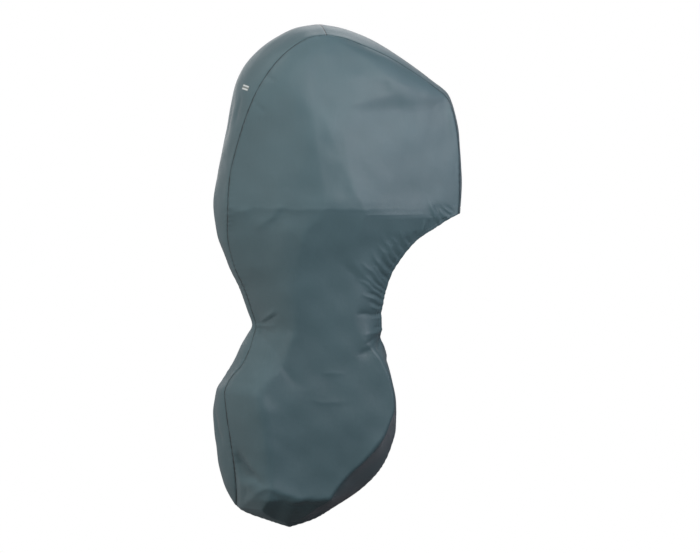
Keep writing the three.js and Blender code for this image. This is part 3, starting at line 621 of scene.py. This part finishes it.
def fold_relief(folds, x, z):
    """How far points are out or in by soft troughs and ridges along their paths."""
    wander_x = x + WANDER * (np.sin(z * 71 + 1.3) + np.sin(x * 53 + z * 97))
    wander_z = z + WANDER * (np.sin(x * 67 + 0.4) + np.sin(z * 59 - x * 89))
    total = np.zeros_like(x)
    for item in folds:
        path = curved(item["path"])
        left, right = item["widths"]
        reach = FOLD_REACH * max(left, right)
        low, high = path.min(axis=0) - reach, path.max(axis=0) + reach
        near = (wander_x > low[0]) & (wander_x < high[0]) & (wander_z > low[1]) & (wander_z < high[1])
        near_x, near_z = wander_x[near], wander_z[near]
        distance, aside = place_on_path(path, near_x, near_z)
        distance = distance / (right + (left - right) * (1 + aside) / 2)
        profile = np.exp(item["crest"] - np.hypot(distance, item["crest"]))
        within = smooth((FOLD_REACH - distance) / FOLD_RUN_OUT)
        total[near] += item["depth"] * left_of_fold(item, path, near_x, near_z) * profile * within
    return total


def gather_folds(shift):
    """The gathers of the hem as folds."""
    folds = []
    for z, rise, length, width, depth in zip(*GATHERS.values()):
        hem = mouth_hem.at(mouth_hem.reach_of_height(z - shift))
        angle = math.radians(rise)
        inner = (hem["x"] - length * math.cos(angle), hem["z"] + length * math.sin(angle))
        path = np.array([(hem["x"], hem["z"]), inner])
        shape = dict(widths=(width, width), ends=(AT_HEM, 0), crest=GATHER_CREST)
        folds.append(dict(path=path, depth=depth, **shape))
    return folds


def waves(x, z, start):
    """The long low waves of the cloth at each point."""
    total = np.zeros_like(x)
    for length, angle, height, phase in zip(*WAVES.values()):
        turn = math.radians(angle)
        way = x * math.cos(turn) + z * math.sin(turn)
        total += height * np.sin(2 * math.pi * way / length + phase + start)
    return total


def seam_relief(reach, distance):
    """A seam is drawn in, and the cloth beside it has small puckers of uneven length and height."""
    phase = 2 * math.pi * reach / PUCKER_LENGTH + 1.9 * swing(reach, PUCKER_UNEVEN)
    pucker = PUCKER * np.sin(phase) * (0.6 + 0.4 * swing(reach, PUCKER_SWELL))
    return pucker * bell(distance / PUCKER_REACH) - SEAM_DIP * bell(distance / SEAM_ROUND)


def hem_relief(reach, distance):
    """The turned hem: a rounded edge, a stitched groove, and the ripples of its elastic."""
    edge = HEM_EDGE * bell(distance / HEM_EDGE)
    groove = HEM_GROOVE * bell((distance - HEM_STITCH) / HEM_GROOVE_WIDTH)
    phase = math.pi * reach / HEM_RIPPLE_LENGTH + 1.15 * swing(reach, HEM_RIPPLE_UNEVEN)
    swell = 0.7 + 0.3 * swing(reach, HEM_RIPPLE_SWELL)
    ripple = HEM_RIPPLE * (np.abs(np.sin(phase)) - 0.6) * swell
    return ripple * bell(distance / HEM_RIPPLE_REACH) - edge - groove


def toward_cut(way, frames, distance):
    """The way in which a piece is displaced and thickened, turned at a seam into its cut."""
    cut = (frames["mitre"] * frames["depth"])[:, None, :]
    share = (1 - smooth(distance / MITRE_REACH))[..., None]
    return way * (1 - share) + cut * share


def thickness(distance):
    """Thickness of the cloth at a distance from the mouth's hem."""
    return HEM + (CLOTH - HEM) * smooth((distance - HEM_WIDTH / 2) / (HEM_WIDTH / 2))


def cloth_uv(grid):
    """The cloth's own coordinates, in metres: along its threads, from the middle outwards."""
    middle = grid.shape[1] // 2
    centre = grid[:, middle:middle + 1]
    along = distances_along(grid)
    u = along - along[:, middle:middle + 1] + centre[..., 0]
    v = distances_along(centre[:, 0])[:, None] + centre[..., 2] - grid[..., 2]
    return np.stack([u, v], axis=-1)


def every_second(count):
    """Every second row or column, and the last one."""
    return np.unique(np.append(np.arange(0, count, 2), count - 1))


def on_both_faces(outer, inner, kept):
    """The outer face's values and then those that the inner face keeps, in one list."""
    size = outer.shape[2:]
    return np.concatenate([outer.reshape(-1, *size), inner[kept].reshape(-1, *size)])


def quads(index):
    a, b, c, d = index[:-1, :-1], index[1:, :-1], index[1:, 1:], index[:-1, 1:]
    return np.stack([a, b, c, d], axis=-1).reshape(-1, 4).tolist()


def rim(outer_line, inner_line, kept):
    """Faces between a border of the outer face and one of the inner face."""
    faces = []
    for number, (start, stop) in enumerate(zip(kept[:-1], kept[1:])):
        fine = outer_line[start:stop + 1][::-1].tolist()
        faces.append(fine + inner_line[number:number + 2].tolist())
    return faces


def turned(faces):
    return [face[::-1] for face in faces]


class Sheet:
    """A piece of cloth as two grids of points, outer and inner, with what its material reads."""

    def __init__(self, outer, inner, relief, from_seam):
        self.outer, self.inner = outer, inner
        self.relief, self.from_seam = relief, from_seam

    def mirrored(self):
        return Sheet(self.outer * MIRROR, self.inner * MIRROR, self.relief, self.from_seam)

    def build(self, name, outward):
        """A closed mesh: the outer face whole, the inner face with every second row and column."""
        rows, columns = self.outer.shape[:2]
        kept_rows, kept_columns = every_second(rows), every_second(columns)
        kept = np.ix_(kept_rows, kept_columns)
        outer = np.arange(rows * columns).reshape(rows, columns)
        inner = outer.size + np.arange(outer[kept].size).reshape(outer[kept].shape)
        faces = quads(outer) + turned(quads(inner))
        faces += turned(rim(outer[:, 0], inner[:, 0], kept_rows))
        faces += rim(outer[:, -1], inner[:, -1], kept_rows)
        faces += rim(outer[0], inner[0], kept_columns)
        faces += turned(rim(outer[-1], inner[-1], kept_columns))
        vertices = on_both_faces(self.outer, self.inner, kept)
        piece = mesh_object(name, vertices, faces if outward > 0 else turned(faces))
        uv = cloth_uv(self.outer)
        set_uv(piece, on_both_faces(uv, uv, kept))
        for attribute, values in (("relief", self.relief), ("from_seam", self.from_seam)):
            layer = piece.data.attributes.new(attribute, "FLOAT", "POINT")
            layer.data.foreach_set("value", on_both_faces(values, values, kept).astype(np.float32))
        return piece


def mesh_object(name, vertices, faces):
    mesh = bpy.data.meshes.new(name)
    mesh.from_pydata(np.asarray(vertices).tolist(), [], faces)
    mesh.validate()
    mesh.shade_smooth()
    mesh.set_sharp_from_angle(angle=SHARP_ANGLE)
    piece = bpy.data.objects.new(name, mesh)
    bpy.context.scene.collection.objects.link(piece)
    return piece


def set_uv(piece, uv):
    mesh = piece.data
    corners = np.zeros(len(mesh.loops), dtype=np.int32)
    mesh.loops.foreach_get("vertex_index", corners)
    layer = mesh.uv_layers.new(name="cloth")
    layer.data.foreach_set("uv", uv[corners].astype(np.float32).ravel())


def plain_panel():
    """The side panel's plain grid, its columns' distances from both edges, and its seams' frames."""
    share, from_back, length = even_columns(panel_point, ROWS, PANEL_COLUMNS, SEAM_STEPS, HEM_STEPS)
    grid = panel_point(share)
    normals = grid_normals(grid, 1)
    return dict(
        grid=grid,
        normals=normals,
        from_back=from_back,
        from_front=length - from_back,
        back=seam_frames(back_edge, normals[:, 0]),
        front=seam_frames(front_edge, normals[:, -1]),
    )


def panel_relief(main_folds, fine_folds, wave_start):
    """How far each point of a side panel stands out from its plain shape."""
    x, z = plain["grid"][..., 0], plain["grid"][..., 2]
    from_back, from_front = plain["from_back"], plain["from_front"]
    reach = front_edge.reach[:, None]
    hem_end = np.minimum(reach, mouth_hem.end - reach)
    margin = np.where(on_hem, np.maximum(hem_end, from_front), from_front)
    main_share = smooth(from_back / FOLD_MARGIN) * smooth(margin / FOLD_MARGIN)
    fine_share = smooth(from_back / FINE_MARGIN) * smooth(margin / FINE_MARGIN)
    relief = (fold_relief(main_folds, x, z) + waves(x, z, wave_start)) * main_share
    relief += fold_relief(fine_folds, x, z) * fine_share
    relief += seam_relief(back_edge.reach[:, None], from_back)
    hem_share = np.where(on_hem, smooth(hem_end / HEM_FADE), 0)
    relief += seam_relief(reach, from_front) * (1 - hem_share)
    relief += hem_relief(reach, from_front) * hem_share
    return relief


def side_panel(main_folds, fine_folds, wave_start):
    """A side panel, cut at its seams and turned in at its hem."""
    back, front = plain["back"], plain["front"]
    from_back, from_front = plain["from_back"], plain["from_front"]
    relief = panel_relief(main_folds, fine_folds, wave_start)
    hem_ends = (front_edge.reach == mouth_hem.end)[:, None]
    way = toward_cut(plain["normals"], back, from_back)
    way = toward_cut(way, front, np.where(on_hem & ~hem_ends, np.inf, from_front))
    half = way.shape[1] // 2  # the first row is cut as both seams are
    way[0, :half] = back["mitre"][0] * back["depth"][0]
    way[0, half:] = front["mitre"][0] * front["depth"][0]
    outer = plain["grid"] + way * relief[..., None]
    inner = outer - way * thickness(np.where(on_hem, from_front, np.inf))[..., None]
    for face in (outer, inner):
        face[:, 0] += back["across"] * SEAM_GAP / 2
        face[:, -1] += np.where(on_hem, 0, front["across"] * SEAM_GAP / 2)
        face[0, 1:-1] += back["across"][0] * SEAM_GAP / 2
        face[..., 1] = np.minimum(face[..., 1], -SEAM_GAP / 2)
    from_seam = np.minimum(from_back, np.where(on_hem, 1.0, from_front))
    return Sheet(outer, inner, relief, from_seam)


def upright(normals):
    """On the crown's cross seam both bands are cut in the same upright plane."""
    return unit(normals * np.array([0, 1, 1]))


def band_frames(frames, rows):
    """The cuts of a band's seams: the cross seam on the crown, then the panels' own, row by row."""
    back, front = plain["back"], plain["front"]
    crown = upright(unit(back["mitre"][0] + front["mitre"][0]))
    crown_across = unit(back["across"][0] + front["across"][0])
    return dict(
        mitre=np.concatenate([[crown], frames["mitre"][rows]]),
        across=np.concatenate([[crown_across], frames["across"][rows]]),
        depth=np.concatenate([back["depth"][:1], frames["depth"][rows]]),
    )


def band(edge, frames, columns, folds, hemmed, outward):
    """One band, from the cross seam on the crown along the first line of an edge."""
    line = edge.lines[0]
    rows = edge.on(line)
    reach = np.insert(edge.reach[rows], 0, 0)[:, None]

    def shape(share):
        return band_point(line, reach, share)

    share, from_starboard, length = even_columns(shape, len(reach), columns, SEAM_STEPS, SEAM_STEPS)
    grid = shape(share)
    from_port = length - from_starboard
    nearest = np.minimum(from_starboard, from_port)
    y, z = np.broadcast_arrays(grid[..., 1], line.at(reach)["z"])
    relief = (fold_relief(folds, y, z) + waves(y, z, BAND_WAVES)) * smooth(nearest / FOLD_MARGIN)
    relief += seam_relief(reach, nearest)
    relief += seam_relief(y, reach) * smooth(nearest / CROSS_SEAM_FADE)
    from_hem = np.broadcast_to(line.end - reach if hemmed else np.inf, share.shape)
    if hemmed:
        relief += hem_relief(y + FRONT_HEM_START, from_hem) * smooth(nearest / HEM_FADE)
    normals = grid_normals(grid, outward)
    normals[0] = upright(normals[0])
    cut = band_frames(frames, rows)
    way = toward_cut(normals, cut, from_starboard)
    way = toward_cut(way, {**cut, "mitre": cut["mitre"] * MIRROR}, from_port)
    outer = grid + way * relief[..., None]
    inner = outer - way * thickness(from_hem)[..., None]
    for face in (outer, inner):
        face[:, 0] -= cut["across"] * SEAM_GAP / 2
        face[:, -1] -= cut["across"] * MIRROR * SEAM_GAP / 2
        face[0, :, 0] += outward * SEAM_GAP / 2
    return Sheet(outer, inner, relief, np.minimum(nearest, reach))


def read_line(line, keys, places):
    """Points of a line at places among its rising keys."""
    return np.stack([np.interp(places, keys, line[:, k]) for k in range(3)], axis=-1)


def stitched_row(sheet, distances, distance, rows):
    """Points and normals along a sheet at an even distance from one of its edges."""
    normals = grid_normals(sheet.outer, 1)
    found, facing = [], []
    for row in rows:
        order = np.argsort(distances[row])
        keys = distances[row][order]
        found.append(read_line(sheet.outer[row][order], keys, distance))
        facing.append(read_line(normals[row][order], keys, distance))
    return np.array(found), unit(np.array(facing))


def stitches(name, stitched_rows):
    """Sewn rows: each stitch a short thread that dives into the cloth at both ends."""
    step, size, lift = (values[:, None, None] for values in STITCH_RINGS.values())
    turns = 2 * math.pi * np.arange(STITCH_SIDES)[:, None] / STITCH_SIDES
    stitched = []
    for line, normals in stitched_rows:
        reach = distances_along(line)
        places = np.arange(STITCH_PITCH, reach[-1] - STITCH_PITCH, STITCH_PITCH)
        centre = read_line(line, reach, places)[:, None, None]
        along = unit(read_line(line, reach, places + AHEAD)[:, None, None] - centre)
        up = unit(read_line(normals, reach, places))[:, None, None]
        aside = unit(np.cross(along, up))
        middle = centre + along * step * STITCH / 2 + up * lift * THREAD
        ring = (aside * np.cos(turns) + up * np.sin(turns)) * THREAD * size
        stitched.append((middle + ring).reshape(-1, 3))
    vertices = np.concatenate(stitched)

    corners = np.arange(step.size * STITCH_SIDES).reshape(-1, STITCH_SIDES)
    closed = np.append(corners, corners[:, :1], axis=1)
    one = turned(quads(closed)) + [corners[0][::-1].tolist(), corners[-1].tolist()]
    starts = range(0, len(vertices), corners.size)
    faces = [[start + corner for corner in face] for start in starts for face in one]
    return mesh_object(name, vertices, faces)


# Materials

MIX_FIRST, MIX_SECOND, MIX_COLOUR = 6, 7, 2  # a mix node's sockets for colours


class Nodes:
    """A tree of nodes, built by adding nodes whose inputs are numbers or other nodes' outputs."""

    def __init__(self, tree):
        self.tree = tree
        self.tree.nodes.clear()

    def add(self, kind, inputs=None, **settings):
        node = self.tree.nodes.new(kind)
        for name, value in settings.items():
            setattr(node, name, value)
        for name, value in (inputs or {}).items():
            if isinstance(value, bpy.types.NodeSocket):
                self.tree.links.new(value, node.inputs[name])
            else:
                node.inputs[name].default_value = value
        return node.outputs

    def math(self, operation, first, second=0.0):
        return self.add("ShaderNodeMath", {0: first, 1: second}, operation=operation)[0]

    def remap(self, value, low, high, to_low, to_high):
        inputs = {"Value": value, "From Min": low, "From Max": high, "To Min": to_low, "To Max": to_high}
        return self.add("ShaderNodeMapRange", inputs)[0]

    def noise(self, place, scale, detail=2.0):
        return self.add("ShaderNodeTexNoise", {"Vector": place, "Scale": scale, "Detail": detail})[0]

    def attribute(self, name):
        return self.add("ShaderNodeAttribute", attribute_name=name)["Fac"]

    def shaded(self, colour, shade):
        return self.add("ShaderNodeVectorMath", {0: colour, "Scale": shade}, operation="SCALE")[0]

    def bump(self, strength, depth, height, **others):
        inputs = {"Strength": strength, "Distance": depth, "Height": height, **others}
        return self.add("ShaderNodeBump", inputs)[0]

    def weave(self, uv, period):
        place = self.add("ShaderNodeSeparateXYZ", {0: uv})
        turn = 2 * math.pi / period
        warp = self.math("SINE", self.math("MULTIPLY", place[0], turn))
        weft = self.math("SINE", self.math("MULTIPLY", place[1], turn))
        return self.math("MULTIPLY", warp, weft)


class Material(Nodes):
    def __init__(self, name):
        self.material = bpy.data.materials.new(name)
        self.material.use_nodes = True
        super().__init__(self.material.node_tree)

    def cloth_uv(self):
        return self.add("ShaderNodeUVMap", uv_map="cloth")[0]

    def place(self):
        return self.add("ShaderNodeTexCoord")["Object"]

    def finish(self, inputs):
        """The material, with these inputs of its shader."""
        surface = self.add("ShaderNodeBsdfPrincipled", inputs)[0]
        self.add("ShaderNodeOutputMaterial", {"Surface": surface})
        return self.material


def cloth_material():
    """Coated polyester: a fine plain weave, faint streaks of its yarns and a soft sheen, with painted shade
    where its relief dips in, painted light on its crests and a painted shadow along its seams.
    """
    made = Material("cloth")
    uv, place = made.cloth_uv(), made.place()
    weave = made.weave(uv, THREAD_PERIOD)
    cloudy = made.noise(place, 5.0, 3.0)
    crumple = made.noise(place, 55.0)
    uneven = made.noise(place, 26.0)
    along_yarns = made.add("ShaderNodeMapping", {"Vector": uv, "Scale": (900.0, 14.0, 1.0)})[0]
    streaks = made.noise(along_yarns, 1.0)
    # for the painted seam shadow: the distance from a seam, with noise so that the dark line is uneven in
    # width
    from_seam = made.math("ADD", made.attribute("from_seam"), made.remap(uneven, 0.35, 0.65, -0.0006, 0.0008))
    shade = made.remap(cloudy, 0.3, 0.7, 0.95, 1.05)
    for other in (
        made.remap(streaks, 0.3, 0.7, 0.975, 1.025),
        # painted shade and light: darker where the relief dips in (troughs of folds and gathers, seams, the
        # hem's groove), a little lighter on crests
        made.remap(made.attribute("relief"), -0.006, 0.006, 0.93, 1.05),
        # painted shadow along the seams: the colour falls to a tenth within 0.8 mm of a seam and is whole
        # again by 2.6 mm
        made.remap(from_seam, 0.0008, 0.0026, 0.10, 1.0),
    ):
        shade = made.math("MULTIPLY", shade, other)
    low = made.bump(0.5, 0.0007, crumple)
    return made.finish({
        "Base Color": made.shaded(CLOTH_COLOUR, shade),
        "Roughness": made.remap(cloudy, 0.3, 0.7, 0.43, 0.50),
        "Specular IOR Level": 0.55,
        "Sheen Weight": 0.22,
        "Sheen Roughness": 0.45,
        "Sheen Tint": (0.95, 0.94, 1.0, 1.0),
        "Normal": made.bump(0.35, 0.00008, weave, Normal=low),
    })


def tape_material():
    """Woven tape, with two bars in a paler yarn where the label stands up a little."""
    made = Material("tape")
    weave = made.weave(made.cloth_uv(), TAPE_PERIOD)
    colours = {0: made.attribute("relief"), MIX_FIRST: (*TAPE_COLOUR, 1), MIX_SECOND: (*TAPE_BAR_COLOUR, 1)}
    colour = made.add("ShaderNodeMix", colours, data_type="RGBA")[MIX_COLOUR]
    return made.finish({
        "Base Color": made.shaded(colour, made.remap(weave, -1.0, 1.0, 0.90, 1.04)),
        "Roughness": 0.6,
        "Sheen Weight": 0.15,
        "Normal": made.bump(0.5, 0.0002, weave),
    })


def thread_material():
    made = Material("thread")
    fuzz = made.noise(made.place(), 900.0)
    return made.finish({
        "Base Color": made.shaded(THREAD_COLOUR, made.remap(fuzz, 0.3, 0.7, 0.85, 1.15)),
        "Roughness": 0.5,
        "Sheen Weight": 0.2,
        "Normal": made.bump(0.5, 0.0001, fuzz),
    })


def floor_material():
    return Material("floor").finish({"Base Color": FLOOR_COLOUR, "Roughness": 0.8})


# Pieces


def dress(piece, material, slot, *nodes):
    piece.data.materials.append(material)
    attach(piece, "root")
    if nodes:
        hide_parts(*nodes)
    return piece


def panel_stitching(name, sheet, flip):
    """The topstitching of a side panel's seams, and the stitches of its hem."""
    from_back, from_front = plain["from_back"], plain["from_front"]
    wide = np.flatnonzero((from_back + from_front)[:, 0] > STITCHED_WIDTH)
    hem_rows = np.flatnonzero(on_hem)
    lines = [
        stitched_row(sheet, from_back, TOPSTITCH, wide),
        stitched_row(sheet, from_front, TOPSTITCH, wide[wide < hem_rows[0]]),
        stitched_row(sheet, from_front, TOPSTITCH, wide[wide > hem_rows[-1]]),
        stitched_row(sheet, from_front, HEM_STITCH, hem_rows),
    ]
    made = stitches(name, [(line * flip, normals * flip) for line, normals in lines])
    return dress(made, thread, "cloth")


def label_sheet():
    """The label: a small tab with two plain bars, which follows the band's face a little off it."""
    start = back_seam.reach_of_height(-LABEL_DOWN) - LABEL_LENGTH / 2
    down = np.linspace(0, LABEL_LENGTH, LABEL_ROWS)[:, None]
    along = np.linspace(-LABEL_WIDTH / 2, LABEL_WIDTH / 2, LABEL_COLUMNS)
    across = LABEL_ACROSS + along / back_seam.at(start)["half"]
    share = np.broadcast_to((across + 1) / 2, (LABEL_ROWS, LABEL_COLUMNS))
    grid = band_point(back_seam, start + down, share)
    normals = grid_normals(grid, -1)
    from_bar = np.abs(np.abs(down - LABEL_LENGTH / 2) - LABEL_BAR_PLACE)
    from_end = LABEL_WIDTH / 2 - np.abs(along)
    bar = smooth((LABEL_BAR / 2 - from_bar) / LABEL_BAR_EDGE + 0.5)
    bar = bar * smooth((from_end - LABEL_BAR_END) / LABEL_BAR_EDGE + 0.5)
    lift = 2 * SEAM_GAP
    height = lift + LABEL_THICKNESS - LABEL_BAR_RISE + LABEL_BAR_RISE * bar
    return Sheet(grid + normals * height[..., None], grid + normals * lift, bar, np.ones(bar.shape))


cloth = cloth_material()
thread = thread_material()
tape = tape_material()

plain = plain_panel()
starboard = side_panel(MAIN_FOLDS + gather_folds(0), FINE_FOLDS, 0.0)
port = side_panel(PORT_FOLDS + gather_folds(PORT_GATHER_SHIFT), [], PORT_WAVES)
back_sheet = band(back_edge, plain["back"], BACK_BAND_COLUMNS, BAND_FOLDS, False, -1)
front_sheet = band(front_edge, plain["front"], FRONT_BAND_COLUMNS, [], True, 1)

starboard_cloth = dress(starboard.build("starboard_cloth", 1), cloth, "cloth", "side_panel_starboard")
port_cloth = dress(port.mirrored().build("port_cloth", -1), cloth, "cloth", "side_panel_port")
back_cloth = dress(back_sheet.build("back_band_cloth", -1), cloth, "cloth", "back_band")
front_cloth = dress(front_sheet.build("front_band_cloth", 1), cloth, "cloth", "front_band")
starboard_stitches = panel_stitching("starboard_stitches", starboard, 1)
port_stitches = panel_stitching("port_stitches", port, MIRROR)
dress(label_sheet().build("label_tab", -1), tape, "label_tape", "label")


# Stage


def place_around(name, data, middle, azimuth, elevation, distance):
    """A light or camera that looks at a middle from these angles."""
    turn, rise = math.radians(azimuth), math.radians(elevation)
    way = Vector((math.sin(turn) * math.cos(rise), -math.cos(turn) * math.cos(rise), math.sin(rise)))
    made = bpy.data.objects.new(name, data)
    made.location = middle + way * distance
    made.rotation_euler = (middle - made.location).to_track_quat("-Z", "Y").to_euler()
    bpy.context.scene.collection.objects.link(made)
    return made


def camera():
    data = bpy.data.cameras.new("camera")
    data.lens = CAMERA_LENS
    data.sensor_width = 36
    data.clip_end = 100
    return place_around("camera", data, CAMERA_TARGET, CAMERA_AZIMUTH, CAMERA_ELEVATION, CAMERA_DISTANCE)


def light(name, azimuth, elevation, power, colour):
    data = bpy.data.lights.new(name, "AREA")
    data.shape = "RECTANGLE"
    data.size = data.size_y = LIGHT_SIZE
    data.energy = power
    data.color = colour
    place_around(name, data, LIGHT_MIDDLE, azimuth, elevation, LIGHT_DISTANCE)


def world():
    """White where the camera looks past the cover, and a weak light that comes mostly from aft."""
    made = bpy.data.worlds.new("studio")
    made.use_nodes = True
    nodes = Nodes(made.node_tree)
    aft = nodes.add("ShaderNodeSeparateXYZ", {0: nodes.add("ShaderNodeTexCoord")["Generated"]})["X"]
    fill = nodes.remap(aft, 0.0, -1.0, FILL, AFT_FILL)
    seen = nodes.add("ShaderNodeLightPath")["Is Camera Ray"]
    strength = nodes.remap(seen, 0.0, 1.0, fill, 1.0)
    background = nodes.add("ShaderNodeBackground", {"Color": (1, 1, 1, 1), "Strength": strength})[0]
    nodes.add("ShaderNodeOutputWorld", {"Surface": background})
    bpy.context.scene.world = made


def floor():
    square = ((-1, -1), (1, -1), (1, 1), (-1, 1))
    corners = [(x * FLOOR_SIZE, y * FLOOR_SIZE, FLOOR_HEIGHT) for x, y in square]
    made = mesh_object("floor", corners, [[0, 1, 2, 3]])
    made.data.materials.append(floor_material())
    made.visible_diffuse = False  # the floor doesn't light the cover from below
    made.visible_glossy = False


bpy.context.scene.camera = camera()
world()
floor()
for row in LIGHTS:
    light(*row)
bpy.context.scene.view_settings.view_transform = "Standard"
